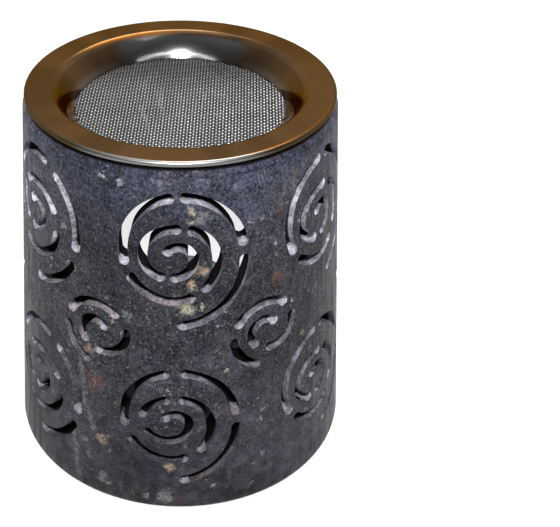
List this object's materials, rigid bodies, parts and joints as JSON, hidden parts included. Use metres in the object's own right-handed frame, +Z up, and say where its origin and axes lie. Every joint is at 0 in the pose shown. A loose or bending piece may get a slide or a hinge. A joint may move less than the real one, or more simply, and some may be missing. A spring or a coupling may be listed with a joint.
{
  "type": "incense warmer",
  "caption": "Carved stone cone with spiral slots, an arch for a tealight at the back and a lift-off wire sieve on top, on which incense is warmed.",
  "frame": {"origin": "centre of the flat base, on the surface it stands on", "axes": "+Z up along the cone, +Y out of the tealight arch, -Y towards the carved front"},
  "size_m": [0.1046, 0.1046, 0.116],
  "materials": {
    "stone": "dark soapstone, polished outside and raw in the cuts",
    "bronzed_steel": "polished, warm brown on the flange",
    "steel": "bright wire and sheet",
    "clear_glass": "clear, polished",
    "wax": "white candle wax, satin",
    "cotton": "waxed cotton",
    "tinplate": "bright tinplate"
  },
  "bodies": {
    "stone": {"stone_body": "stone"},
    "sieve": {"sieve_ring": "bronzed_steel", "sieve_mesh": "steel", "mesh_clamp_ring": "steel"},
    "tealight": {"tealight_cup": "clear_glass", "tealight_wax": "wax", "tealight_wick": "cotton", "wick_sustainer": "tinplate"}
  },
  "joints": [
    {"name": "sieve_lift", "type": "slide", "parent": "stone", "child": "sieve", "axis": [0, 0, 1], "range_m": [0, 0.05]},
    {"name": "tealight_slide", "type": "slide", "parent": "stone", "child": "tealight", "axis": [0, 1, 0], "range_m": [0, 0.07]}
  ]
}
